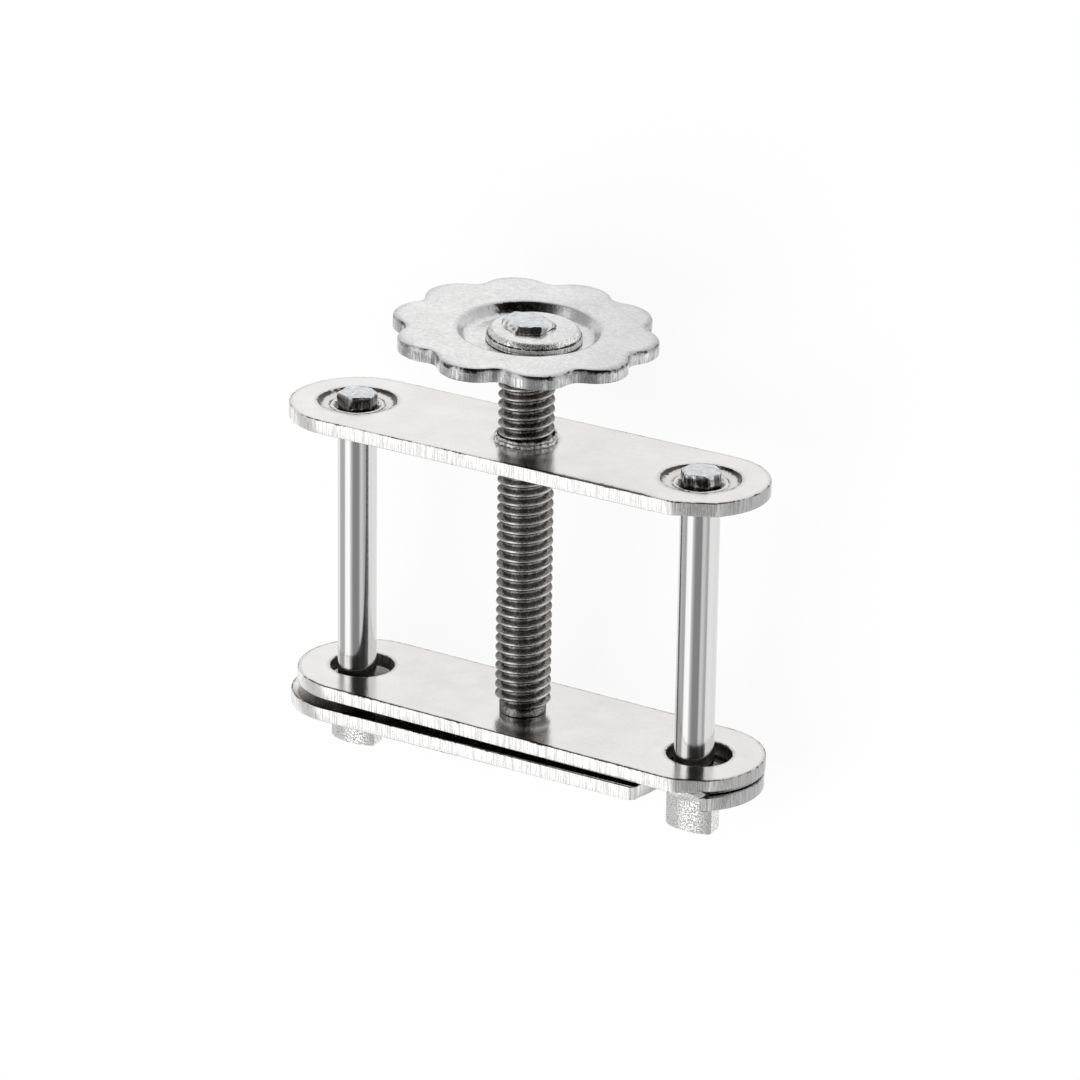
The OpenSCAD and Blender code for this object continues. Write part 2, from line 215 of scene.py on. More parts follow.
def scaled(tree, place, by):
    """Scales a place along each axis, which stretches what is drawn there."""
    return node(tree, "VectorMath", {0: place, 1: by}, operation="MULTIPLY").outputs[0]


def blotches(tree, place, scale, detail, roughness=0.5, distortion=0.0):
    """Soft random blotches, from 0 to 1."""
    return node(tree, "TexNoise", {"Vector": place, "Scale": scale, "Detail": detail,
                                   "Roughness": roughness,
                                   "Distortion": distortion}).outputs["Fac"]


def marked(tree, name):
    """Reads a value that is stored on the points of the mesh."""
    return node(tree, "Attribute", attribute_name=name).outputs["Fac"]


def effect(name, inputs, outputs):
    """Starts a node group with named float or vector inputs and float outputs."""
    tree = bpy.data.node_groups.new(name, "ShaderNodeTree")
    for port, kind in inputs.items():
        tree.interface.new_socket(name=port, in_out="INPUT", socket_type="NodeSocket" + kind)
    for port in outputs:
        tree.interface.new_socket(name=port, in_out="OUTPUT", socket_type="NodeSocketFloat")
    return tree, tree.nodes.new("NodeGroupInput").outputs, tree.nodes.new("NodeGroupOutput").inputs


def metal(name, colour, roughness):
    """Starts a bare metal with its constant values, and its own upright millimetres."""
    material = bpy.data.materials.new(name)
    material.use_nodes = True
    tree = material.node_tree
    shader = tree.nodes["Principled BSDF"]
    shader.inputs["Base Color"].default_value = (*colour, 1)
    shader.inputs["Metallic"].default_value = 1
    shader.inputs["Roughness"].default_value = roughness
    place = node(tree, "TexCoord")
    upright = node(tree, "Mapping", {"Vector": place.outputs["Object"],
                                     "Location": post_ends,
                                     "Rotation": laid.to_euler(),
                                     "Scale": (0.001, 0.001, 0.001)}, vector_type="TEXTURE")
    return material, tree, shader, upright.outputs["Vector"]


# Fine grain: soft clouds with small pits, as left by pickling and plating
grain_tree, ports, results = effect("fine_grain", {"Vector": "Vector", "Size": "Float"},
                                    ["Grain", "Clouds"])
scale = calc(grain_tree, "DIVIDE", 1.0, ports["Size"])
pits = blotches(grain_tree, ports["Vector"], scale, 3.0, 0.6)
clouds = blotches(grain_tree, ports["Vector"], 0.35, 3.0, 0.55)
for wave, result in ((pits, "Grain"), (clouds, "Clouds")):
    grain_tree.links.new(fade(grain_tree, wave, 0.3, 0.7), results[result])

# Ragged rim: the torn burr and dark dirt that cling to a rim, and painted shade in the creases
# and on round edges there, which reach in from it unevenly
ragged_tree, ports, results = effect("ragged_rim_and_shade", {"Vector": "Vector", "Rim": "Float"}, ["Mask"])
torn = blotches(ragged_tree, ports["Vector"], 2.6, 4.0, 0.7)
patches = blotches(ragged_tree, ports["Vector"], 0.4, 1.0)
reach = calc(ragged_tree, "MULTIPLY", ports["Rim"], 0.5)
reach = calc(ragged_tree, "MULTIPLY_ADD", torn, 0.9, reach)
reach = calc(ragged_tree, "MULTIPLY_ADD", patches, 0.5, reach)
ragged_tree.links.new(fade(ragged_tree, reach, 1.16, 1.26), results["Mask"])

# Shear marks: the fine upright lines that the blade leaves across a cut edge, and how near a
# point lies to either rim of it
shear_tree, ports, results = effect("shear_marks", {"Vector": "Vector", "Across": "Float"},
                                    ["Lines", "Rim"])
lines = blotches(shear_tree, scaled(shear_tree, ports["Vector"], (10.0, 10.0, 0.6)), 1.0, 4.0,
                 0.65, 0.1)
shear_tree.links.new(fade(shear_tree, lines, 0.34, 0.54), results["Lines"])
off_middle = calc(shear_tree, "ABSOLUTE", calc(shear_tree, "SUBTRACT", ports["Across"], 0.5))
shear_tree.links.new(fade(shear_tree, off_middle, 0.3, 0.5), results["Rim"])


def grain_at(tree, upright, size):
    """The fine grain's outputs, at a size in millimetres."""
    return node(tree, "Group", {"Vector": upright, "Size": size}, node_tree=grain_tree).outputs


def shear_at(tree, upright, across=0.5):
    """The shear marks' outputs, at a height from 0 to 1 across the edge."""
    return node(tree, "Group", {"Vector": upright, "Across": across},
                node_tree=shear_tree).outputs


def mottled(tree, grain, cloudy):
    """Mixes the clouds of a grain with its pits, by the share of the clouds."""
    mottle = calc(tree, "MULTIPLY", grain["Clouds"], cloudy)
    return calc(tree, "MULTIPLY_ADD", grain["Grain"], 1 - cloudy, mottle)


def tint(tree, factor, low, high, how="MIX"):
    """Blends two colours, or the colours of two sockets, by a value."""
    low, high = ((*c, 1) if isinstance(c, tuple) else c for c in (low, high))
    return node(tree, "Mix", {0: factor, 6: low, 7: high}, data_type="RGBA",
                blend_type=how).outputs[2]


def rim_soil_and_shade(tree, upright, rim, colour):
    """Lays the ragged burr, dirt and painted shade over a colour."""
    mask = node(tree, "Group", {"Vector": upright, "Rim": rim}, node_tree=ragged_tree).outputs[0]
    return tint(tree, mask, colour, (0.07, 0.066, 0.06))


def feed(tree, shader, colour, sheen, height, depth):
    """Feeds a shader's colour, its roughness as (value, at 0, at 1), and its bump."""
    tree.links.new(colour, shader.inputs["Base Color"])
    value, low, high = sheen
    tree.links.new(fade(tree, value, 0.0, 1.0, low, high), shader.inputs["Roughness"])
    bump = node(tree, "Bump", {"Height": height, "Strength": 0.6, "Distance": depth})
    tree.links.new(bump.outputs[0], shader.inputs["Normal"])


# Plated sheet: satin nickel, slightly warm, with faint clouds and a very fine grain. The side
# that grips the tubing is a darker copy, painted shade for the gap between the plates, all but
# the tips of the plate.
for name, low, high in (("plate_nickel", (0.76, 0.745, 0.73), (0.90, 0.885, 0.87)),
                        ("gripping_side_shade", (0.36, 0.35, 0.34), (0.50, 0.49, 0.475))):
    sheet, tree, shader, upright = metal(name, high, 0.2)
    grain = grain_at(tree, upright, 0.16)
    mottle = mottled(tree, grain, 0.6)
    colour = tint(tree, mottle, low, high)
    edge = marked(tree, "rim")
    place = node(tree, "SeparateXYZ", {0: upright}).outputs
    if name == "plate_nickel":
        plate_face = sheet
        # painted shade darkens the top plate's front edge to the right of the screw, as if it were
        # rolled over there
        rolled_edge_shade = 1.0
        for axis, start, end in (("Y", -4.25, -4.7), ("X", -0.5, 2.0), ("X", 13.6, 12.0),
                                 ("Z", top_face - 0.3, top_face - 0.2)):
            rolled_edge_shade = calc(tree, "MULTIPLY", rolled_edge_shade, fade(tree, place[axis], start, end))
        edge = calc(tree, "ADD", rolled_edge_shade, edge)
    else:
        grip_face_shade = sheet
        # the painted shade stops at the tips, which reach out past the other plates
        tip = fade(tree, calc(tree, "ABSOLUTE", place["X"]), 16.8, 17.8)
        colour = tint(tree, tip, colour, (0.82, 0.81, 0.79))
    # painted shade: rims, pressed rings and the ground under the heads are darkened, partly as burr
    # and dirt
    colour = tint(tree, edge, colour, (0.72, 0.72, 0.72), "MULTIPLY")
    colour = rim_soil_and_shade(tree, upright, edge, colour)
    feed(tree, shader, colour, (mottle, 0.12, 0.2), grain["Grain"], 0.000005)

# Sheared edge: bright torn steel under thin nickel, lined from face to face, and darker round the
# ends with painted shade
cut_edge, tree, shader, upright = metal("sheared_edge", (0.86, 0.85, 0.84), 0.3)
marks = shear_at(tree, upright, marked(tree, "across"))
colour = tint(tree, marks["Lines"], (0.66, 0.655, 0.65), (0.93, 0.925, 0.915))
place = node(tree, "SeparateXYZ", {0: upright}).outputs
painted_shade = fade(tree, calc(tree, "ABSOLUTE", place["X"]), 17.0, 18.2)
colour = tint(tree, painted_shade, colour, (0.48, 0.48, 0.485), "MULTIPLY")
colour = rim_soil_and_shade(tree, upright, marks["Rim"], colour)
feed(tree, shader, colour, (marks["Lines"], 0.22, 0.12), marks["Lines"], 0.00001)

# Bore wall: the wall of a punched hole, painted dark as the shade inside the hole
shaded_bore_wall, tree, shader, upright = metal("shaded_bore_wall", (0.2, 0.19, 0.18), 0.35)
marks = shear_at(tree, upright, marked(tree, "across"))
colour = tint(tree, marks["Lines"], (0.04, 0.038, 0.035), (0.22, 0.21, 0.20))
feed(tree, shader, colour, (marks["Lines"], 0.45, 0.3), marks["Lines"], 0.00002)

# Drawn collar: steel torn and smeared as the punch drew it up and the tap cut it
drawn_up, tree, shader, upright = metal("drawn_collar", (0.5, 0.49, 0.48), 0.2)
grain = grain_at(tree, upright, 0.3)
colour = tint(tree, grain["Grain"], (0.16, 0.155, 0.15), (0.92, 0.915, 0.90))
colour = rim_soil_and_shade(tree, upright, marked(tree, "rim"), colour)
feed(tree, shader, colour, (grain["Grain"], 0.25, 0.12), shear_at(tree, upright)["Lines"], 0.00003)

bm = bmesh.new()
long_outline(bm, plate_end, (-80, -47))
for x in (-post_x, post_x):
    hole(bm, x, 0, ring_r)
hole(bm, 0, 0, collar_foot_r)
punch_sheet(bm, top_z, [(-post_x, 0, ring_r), (post_x, 0, ring_r), (0, 0, collar_foot_r)])
# the third numbers darken the pressed rings and the ground under each head, as dirt and as painted
# shade
for x in (-post_x, post_x):
    turn_profile(bm, [(r, top_face + z, soil_and_shade) for r, z, soil_and_shade in (
        (ring_r, 0, 0.9), (2.80, -0.02, 1.2), (2.74, -0.13, 1.3), (2.66, -0.17, 1.2),
        (2.5, -0.20, 0.9), (2.3, -0.25, 0.4), (2.1, -0.30, 0.6), (1.98, -0.33, 1.1),
        (1.93, -0.32, 0.9), (1.86, -0.27, 0.4), (1.78, -0.27, 0.3), (1.68, -0.33, 0.8),
        (1.58, -0.42, 1.1), (1.5, -head_sunk, 1.3), (1.0, -head_sunk, 1), (1.0, -plate_t, 0),
        (ring_r, -plate_t, 1))], x)
# the third numbers darken the collar's foot and lip, as dirt and as painted shade
turn_profile(bm, [(r, top_face + z, soil_and_shade) for r, z, soil_and_shade in (
    (collar_foot_r, 0, 1.2), (2.19, 0.03, 0.9), (2.14, 0.09, 0.4), (2.12, 0.19, 0.4),
    (2.16, 0.25, 0.6), (2.20, 0.30, 0.1), (2.215, 0.38, 0.1), (2.18, 0.46, 0.5),
    (2.10, 0.50, 0.1), (2.03, 0.48, 0.5), (1.995, 0.40, 1.1), (1.995, -plate_t, 0),
    (collar_foot_r, -plate_t, 0))], material=4)
# the collar's lip is torn
for vert in bm.verts:
    lift = (vert.co.z - top_face) / lip_h
    if lift > 0.1 and vert.co.xy.length < collar_foot_r + 0.08:
        tear = noise.noise(vert.co * 1.6) + 0.5 * noise.noise(vert.co * 4)
        vert.co.z -= lip_torn * lift * abs(tear)
        vert.co.xy *= 1 - lip_drawn_in * lift * abs(noise.noise(vert.co * 2.3))
close_up(bm)
finish_piece(bm, "top_plate_sheet", "frame", "top_plate",
             [plate_face, cut_edge, shaded_bore_wall, grip_face_shade, drawn_up])

# ---- Posts ----
# Two polished 2.8 mm steel rods. The top of each is turned down to a tenon and peened over the
# top plate into a rough six-sided head. The lower end was squeezed flat between two dies, so it
# spreads into a grainy blade whose shoulders carry the base plate.
post_r = 1.4
shoulder_z = 3.16
flat_z = 2.26
foot_r = 1.825
foot_half = 0.9
foot_edge = 0.55
edge_turn = 15
waist_r = 1.655
waist_h = 0.34
tuck = 0.15
tuck_h = 0.25
head_foot = 3.05
head_crown = (2.95, 2.95)
head_h = 1.09
head_soft = 0.16
skirt_h = 0.14
blow_depth = 0.13
dint_depth = 0.05
noise_seed = 1795384340


def squeezed(bm, x):
    """The flattened end: a rod spun up from its cut face, squeezed to a lens between two narrow
    flat edges, with a waist under the shoulder and a tuck at the cut."""
    levels = (0.02, 0.07, 0.15, 0.25, 0.6, 1.0, 1.5, 1.9, 2.1, 2.26, 2.4, 2.55, 2.7, 2.82, 2.9,
              2.98, 3.06, 3.12, 3.16)
    turn_profile(bm, [(0, 0), (0.5, 0), (0.85, 0), (0.97, 0)] + [(1, z) for z in levels]
                 + [(0.8, shoulder_z), (0.6, shoulder_z), (0, shoulder_z)])
    for vert in bm.verts:
        z = vert.co.z
        size = vert.co.xy.length
        if size < 0.01:
            continue
        flat = min(1, (shoulder_z - z) / (shoulder_z - flat_z))
        flat = flat * flat * (3 - 2 * flat)
        swell = min(1, (shoulder_z - z) / waist_h)
        half_x = waist_r + (foot_r - waist_r) * math.sin(swell * math.pi / 2)
        half_x -= tuck * max(0, 1 - z / tuck_h) ** 2
        turn = math.atan2(abs(vert.co.y), abs(vert.co.x)) / math.radians(edge_turn)
        if turn <= 1:
            lens = Vector((half_x, foot_edge * turn))
        else:
            quarter = 90 / edge_turn
            share = (quarter - turn) / (quarter - 1)
            lens = Vector((half_x * share, foot_half - (foot_half - foot_edge) * share ** 2))
        turned = Vector((abs(vert.co.x) * half_x, abs(vert.co.y) * post_r)) / size
        squeeze = turned.lerp(lens, flat) * size
        vert.co.x = math.copysign(squeeze.x, vert.co.x)
        vert.co.y = math.copysign(squeeze.y, vert.co.y)
    bmesh.ops.translate(bm, verts=bm.verts, vec=(x, 0, 0))


# a noise vector follows the clock unless it is seeded
noise.seed_set(noise_seed)


def hammered_head(bm, foot, crown, height, turn, spot):
    """A rivet head struck to six rough faces, on a base at zero height. Its crown has a width
    and a depth, and its blows are read from a spot in the noise. Its skirt is marked, from 0 on
    the crown to 1 on the sides."""
    skirt = bm.verts.layers.float.new("skirt")
    bmesh.ops.create_cone(bm, cap_ends=True, segments=6, radius1=foot / 2, radius2=crown[0] / 2,
                          depth=height, matrix=Matrix.Translation((0, 0, height / 2))
                          @ Matrix.Rotation(math.radians(turn), 4, "Z"))
    for vert in bm.verts:
        if vert.co.z > height / 2:
            vert.co.y *= crown[1] / crown[0]
    bmesh.ops.bevel(bm, geom=bm.edges, offset=head_soft, affect="EDGES", segments=3, profile=0.5,
                    material=-1, clamp_overlap=True)
    bmesh.ops.triangulate(bm, faces=[f for f in bm.faces if len(f.verts) > 4])
    bmesh.ops.subdivide_edges(bm, edges=[e for e in bm.edges if e.calc_length() > 0.25], cuts=3,
                              use_grid_fill=True)
    for vert in bm.verts:
        vert[skirt] = min(1, max(0, (height - 0.03 - vert.co.z) / skirt_h))
        blow = noise.noise_vector(vert.co * 1.1 + Vector((spot, 0, 0)))
        dint = noise.noise_vector(vert.co * 3.0 + Vector((0, spot, 0)))
        vert.co += (blow * blow_depth + dint * dint_depth) * Vector((1, 1, 0.6))
        vert.co.z = min(vert.co.z, height)


rod, tree, shader, upright = metal("post_steel", (0.74, 0.74, 0.74), 0.13)
lines = blotches(tree, scaled(tree, upright, (5.0, 5.0, 0.02)), 1.0, 3.0)
colour = tint(tree, lines, (0.66, 0.66, 0.66), (0.79, 0.79, 0.785))
feed(tree, shader, colour, (lines, 0.06, 0.2), lines, 0.000006)

forged, tree, shader, upright = metal("forged_end", (0.78, 0.77, 0.76), 0.4)
pits = fade(tree, grain_at(tree, upright, 0.1)["Grain"], 0.28, 0.50)
colour = tint(tree, pits, (0.50, 0.495, 0.49), (0.96, 0.955, 0.945))
feed(tree, shader, colour, (pits, 0.45, 0.22), pits, 0.00003)


def struck_steel(name, dark, light, glint_above):
    """Bluish steel of a riveted end: a clouded crown, and sides painted dark as shade, with a
    painted highlight on some of their faces.
    """
    steel, tree, shader, upright = metal(name, (0.68, 0.69, 0.71), 0.2)
    grain = grain_at(tree, upright, 0.45)
    crown = tint(tree, grain["Grain"], (0.50, 0.515, 0.54), (0.82, 0.83, 0.84))
    blows = blotches(tree, scaled(tree, upright, (2.2, 2.2, 0.5)), 1.0, 2.0)
    glint_facets = fade(tree, blows, glint_above, glint_above + 0.08)
    skirt = marked(tree, "skirt")
    colour = tint(tree, skirt, crown, tint(tree, glint_facets, dark, light))
    feed(tree, shader, colour, (skirt, 0.18, 0.26), blows, 0.00015)
    return steel


# the heads' sides carry painted shade and painted highlights
post_struck = struck_steel("struck_head", (0.17, 0.168, 0.165), (0.80, 0.80, 0.81), 0.56)

for side, x, turn in (("left", -post_x, 12), ("right", post_x, 41)):
    bm = bmesh.new()
    turn_profile(bm, [(0, shoulder_z), (post_r, shoulder_z), (post_r, top_z - 0.05),
                      (post_r - 0.05, top_z), (0, top_z)], x)
    close_up(bm)
    finish_piece(bm, side + "_post_rod", "frame", side + "_post", [rod])
    bm = bmesh.new()
    squeezed(bm, x)
    close_up(bm)
    finish_piece(bm, side + "_post_foot", "frame", side + "_post", [forged])
    bm = bmesh.new()
    hammered_head(bm, head_foot, head_crown, head_h, turn, spot=x)
    bmesh.ops.translate(bm, verts=bm.verts, vec=(x, 0, top_face - head_sunk))
    close_up(bm)
    finish_piece(bm, side + "_post_head", "frame", side + "_post", [post_struck], 25)

# ---- Base plate ----
# The same strip as the top plate. It turns on the left post, and a notch in its front side hooks
# round the right post: one wall of the notch is an arc about the left post and the other flares
# out to the free end. The play at the left post lets the free end rise a little.
base_z = 3.2
pivot_r = 1.48
wall_r = 26.54
notch_r = 1.61
notch_x = 14.15
notch_y = 0.34
mouth_x = 16.85
mouth_y = -3.5
corner = 0.35
base_tip = 0.3
blank_shift = 0.12

bm = bmesh.new()
run = post_x + plate_end - plate_half + blank_shift
lip_y = -math.sqrt(plate_half ** 2 - (mouth_x - run) ** 2)
lip_turn = math.degrees(math.atan2(lip_y, mouth_x - run))
corner_x = math.sqrt(wall_r ** 2 - (plate_half - corner) ** 2) - post_x
wall_from = math.degrees(math.asin((corner - plate_half) / wall_r))
wall_to = math.degrees(math.asin(notch_y / wall_r))
walk(bm, (mouth_x, lip_y), (run, 0, 90 - lip_turn),
     (2 * blank_shift - run, plate_half), (2 * blank_shift - run, 0, 180),
     (corner_x - corner, -plate_half), (corner_x, corner - plate_half),
     (-post_x, 0, wall_to - wall_from), (notch_x - notch_r, notch_y), (notch_x, notch_y, -180),
     (notch_x + notch_r, 0), (mouth_x, mouth_y), (mouth_x, lip_y))
hole(bm, -post_x, 0, pivot_r)
punch_sheet(bm, base_z, bores=[(-post_x, 0, pivot_r)], shaded_grip_side=1)
bmesh.ops.rotate(bm, cent=(-post_x, 0, base_z), verts=bm.verts,
                 matrix=Matrix.Rotation(math.radians(-base_tip), 3, "Y"))
close_up(bm)
finish_piece(bm, "base_plate_sheet", "base", "base_plate",
             [plate_face, cut_edge, shaded_bore_wall, grip_face_shade])

# ---- Jaw plate ----
# The middle plate, which presses on the tubing. It slides on the posts in two wide holes and hangs
# on the neck of the screw, whose flared end sits in a countersink underneath. The wide holes let it
# hang a little off centre and tip down towards its free end.
jaw_z = 4.6
jaw_end = 4.6
guide_r = 2.3
neck_hole_r = 1.21
sink_r = 1.82
jaw_drift = Vector((0.15, 0.45, 0))
jaw_tip = 0.45
front_y = -4
burr = 1.8

bm = bmesh.new()
long_outline(bm, jaw_end, (-75, -50))
for x in (-post_x, post_x):
    hole(bm, x, 0, guide_r)
bmesh.ops.translate(bm, verts=bm.verts, vec=jaw_drift)
hole(bm, 0, 0, sink_r)
punch_sheet(bm, 0, [(0, 0, sink_r)],
            [(x + jaw_drift.x, jaw_drift.y, guide_r) for x in (-post_x, post_x)], -1)
# its upper front rim is torn, and there is no rim where its face meets the turned middle
rim = bm.verts.layers.float["rim"]
for vert in bm.verts:
    if vert.co.xy.length < sink_r + 0.1:
        vert[rim] = 0
    elif vert[rim] and vert.co.y < front_y and vert.co.z > plate_t / 2:
        vert[rim] = burr
# the third numbers darken the neck hole's rim, as dirt and as painted shade
turn_profile(bm, [(sink_r, plate_t), (neck_hole_r + 0.05, plate_t, 0.8),
                  (neck_hole_r, plate_t - 0.05, 1.2), (neck_hole_r, 0.51, 1.2),
                  (sink_r, 0.12), (sink_r, 0)])
bmesh.ops.rotate(bm, cent=(0, 0, 0), verts=bm.verts,
                 matrix=Matrix.Rotation(math.radians(jaw_tip), 3, "Y"))
bmesh.ops.translate(bm, verts=bm.verts, vec=(0, 0, jaw_z))
close_up(bm)
finish_piece(bm, "jaw_plate_sheet", "jaw", "jaw_plate",
             [plate_face, cut_edge, shaded_bore_wall, grip_face_shade])

# ---- Clamp screw ----
# An M4 steel screw with a rolled right-hand thread. Its lower end is turned down to a plain
# shoulder and a neck that carries the jaw plate and is flared over beneath it. The top is a
# spigot that is riveted over the hand wheel and its washer.
thread_r = 1.975
core_r = 1.575
pitch = 0.7
thread_z = 6.13
runout_from = 0.1
runout_rise = 1.5
flare_r = 1.7
neck_r = 1.15
shoulder_r = 1.65
hub_z = 32.35
turn_steps = 48
rivet_foot = 3.95
rivet_crown = (3.7, 3.0)
rivet_h = 0.5
wheel_lean = 3.1
lean_to = -30
wheel_top = 34.28
hub_drop = 1.85
lean = Matrix.Rotation(math.radians(wheel_lean), 4,
                       Matrix.Rotation(math.radians(lean_to), 3, "Z") @ Vector((0, 1, 0)))
on_wheel = (Matrix.Translation((0, 0, wheel_top - hub_drop)) @ lean
            @ Matrix.Translation((0, 0, hub_drop)))

threaded, tree, shader, upright = metal("screw_steel", (0.6, 0.595, 0.585), 0.2)
shader.inputs["Specular Tint"].default_value = (0.35, 0.345, 0.34, 1)
grain = grain_at(tree, upright, 0.2)
# painted highlight along the thread's crests and painted shade down its flanks, broken up by the
# grain
bright = calc(tree, "POWER", marked(tree, "crest"), 12.0)
bright = calc(tree, "MULTIPLY", bright, fade(tree, grain["Clouds"], 0.0, 1.0, 0.45, 1.0))
flank_shade = tint(tree, grain["Grain"], (0.11, 0.106, 0.10), (0.40, 0.39, 0.38))
colour = tint(tree, bright, flank_shade, (0.92, 0.915, 0.905))
feed(tree, shader, colour, (grain["Grain"], 0.14, 0.28), grain["Grain"], 0.00002)

bm = bmesh.new()
turns = math.ceil((hub_z + 1 - thread_z) / pitch) + 2
profile = [(core_r, 0), (core_r, 0.07), (1.90, 0.25), (1.96, 0.295), (thread_r, 0.35),
           (1.96, 0.405), (1.90, 0.45), (core_r, 0.63), (core_r, pitch)]
points = [bm.verts.new((r, 0, thread_z - pitch + z)) for r, z in profile]
edges = [bm.edges.new(pair) for pair in zip(points, points[1:])]
bmesh.ops.spin(bm, geom=points + edges, cent=(0, 0, 0), axis=(0, 0, 1),
               dvec=(0, 0, pitch / turn_steps), angle=math.tau * turns, steps=turn_steps * turns)
bmesh.ops.remove_doubles(bm, verts=bm.verts, dist=0.001)
for place, facing in (((0, 0, thread_z), (0, 0, -1)),
                      (on_wheel @ Vector((0, 0, -hub_drop)), lean @ Vector((0, 0, 1)))):
    cut = bmesh.ops.bisect_plane(bm, geom=bm.verts[:] + bm.edges[:] + bm.faces[:], dist=0.0001,
                                 plane_co=place, plane_no=facing, clear_outer=True)
    rim = [g for g in cut["geom_cut"] if isinstance(g, bmesh.types.BMEdge)]
    bmesh.ops.triangle_fill(bm, use_beauty=True, edges=rim)
crest = bm.verts.layers.float.new("crest")
for vert in bm.verts:
    reach = vert.co.xy.length
    vert[crest] = max(0, (reach - core_r) / (thread_r - core_r))
    # the thread runs out over its first turn
    if reach > core_r:
        rise = runout_rise * max(0, vert.co.z - thread_z - runout_from)
        vert.co.xy *= min(1, (core_r + rise) / reach)
turn_profile(bm, [(0, 4.63), (1.6, 4.63), (flare_r, 4.66), (flare_r, 4.72), (neck_r, 5.05),
                  (neck_r, 5.63), (1.6, 5.63), (shoulder_r, 5.68), (shoulder_r, 6.05),
                  (1.55, thread_z + 0.05), (0, thread_z + 0.05)])
close_up(bm)
finish_piece(bm, "screw_thread", "screw", "clamp_screw", [threaded], 40)

# the riveted end of the spigot
bm = bmesh.new()
hammered_head(bm, rivet_foot, rivet_crown, rivet_h, turn=1, spot=5)
bmesh.ops.transform(bm, matrix=on_wheel, verts=bm.verts)
close_up(bm)
# its sides carry painted shade and painted highlights, as the posts' heads do
finish_piece(bm, "screw_rivet", "screw", "clamp_screw",
             [struck_steel("struck_rivet", (0.34, 0.335, 0.33), (0.97, 0.96, 0.95), 0.45)], 25)

# ---- Hand wheel ----
# Stamped from 1 mm steel sheet with ten round lobes and a dished middle, tumbled until its edges
# are soft, then nickel plated. It leans a little where it is riveted on the screw.
lobes = 10
lobe_mid = 6.6959
lobe_r = 2.4541
hollow_mid = 9.38
wheel_turn = 18.5
blank_stretch = 1.03
blank_left = 0.2
sheet_r = 5.35
bend_r = 4
bore_r = 1.4
dish = 0.85
dish_way = Vector((0.2, -0.22, 0))
back_wall_shade_way = Vector((-0.75, 0.66, 0))
painted_shade_way = (0.85, 0.52, 0.0)

dull, tree, shader, upright = metal("wheel_nickel", (0.83, 0.825, 0.82), 0.25)
grain = grain_at(tree, upright, 0.28)
colour = tint(tree, mottled(tree, grain, 0.35), (0.64, 0.64, 0.64), (0.94, 0.935, 0.93))
# one side of it is painted a little darker, as painted shade
side = node(tree, "VectorMath", {0: upright, 1: painted_shade_way}, operation="DOT_PRODUCT")
painted_shade = fade(tree, side.outputs["Value"], 0.0, 9.0)
colour = tint(tree, painted_shade, colour, (0.85, 0.85, 0.86), "MULTIPLY")
# the rims and the dish's bends are darkened by the rim mark, as dirt and as painted shade
edge = marked(tree, "rim")
colour = tint(tree, edge, colour, (0.55, 0.55, 0.56), "MULTIPLY")
colour = rim_soil_and_shade(tree, upright, edge, colour)
feed(tree, shader, colour, (grain["Grain"], 0.26, 0.16), grain["Grain"], 0.00001)

stamped, tree, shader, upright = metal("stamped_rim", (0.6, 0.595, 0.59), 0.25)
marks = shear_at(tree, upright, marked(tree, "across"))
colour = tint(tree, marks["Lines"], (0.42, 0.42, 0.425), (0.88, 0.88, 0.88))
grain = grain_at(tree, upright, 1.1)
colour = tint(tree, grain["Grain"], colour, (0.45, 0.45, 0.46), "MULTIPLY")
colour = rim_soil_and_shade(tree, upright, marks["Rim"], colour)
feed(tree, shader, colour, (marks["Lines"], 0.2, 0.08), marks["Lines"], 0.00001)

bm = bmesh.new()
order = bm.verts.layers.int.new("order")
rim_mark = bm.verts.layers.float.new("rim")
across = bm.verts.layers.float.new("across")
hollow = Vector((hollow_mid * math.cos(math.pi / lobes), hollow_mid * math.sin(math.pi / lobes)))
span = math.degrees(math.atan2(hollow.y, hollow.x - lobe_mid))
first = Vector((lobe_mid + lobe_r * math.cos(math.radians(span)),
                -lobe_r * math.sin(math.radians(span))))
arcs = []
for k in range(lobes):
    for x, y, turn in ((lobe_mid, 0, 2 * span), (hollow.x, hollow.y, 360 / lobes - 2 * span)):
        centre = Matrix.Rotation(math.tau * k / lobes, 2) @ Vector((x, y))
        arcs.append((centre.x, centre.y, turn))
walk(bm, first, *arcs)
bmesh.ops.remove_doubles(bm, verts=bm.verts, dist=0.001)
bmesh.ops.rotate(bm, cent=(0, 0, 0), verts=bm.verts,
                 matrix=Matrix.Rotation(math.radians(wheel_turn), 3, "Z"))
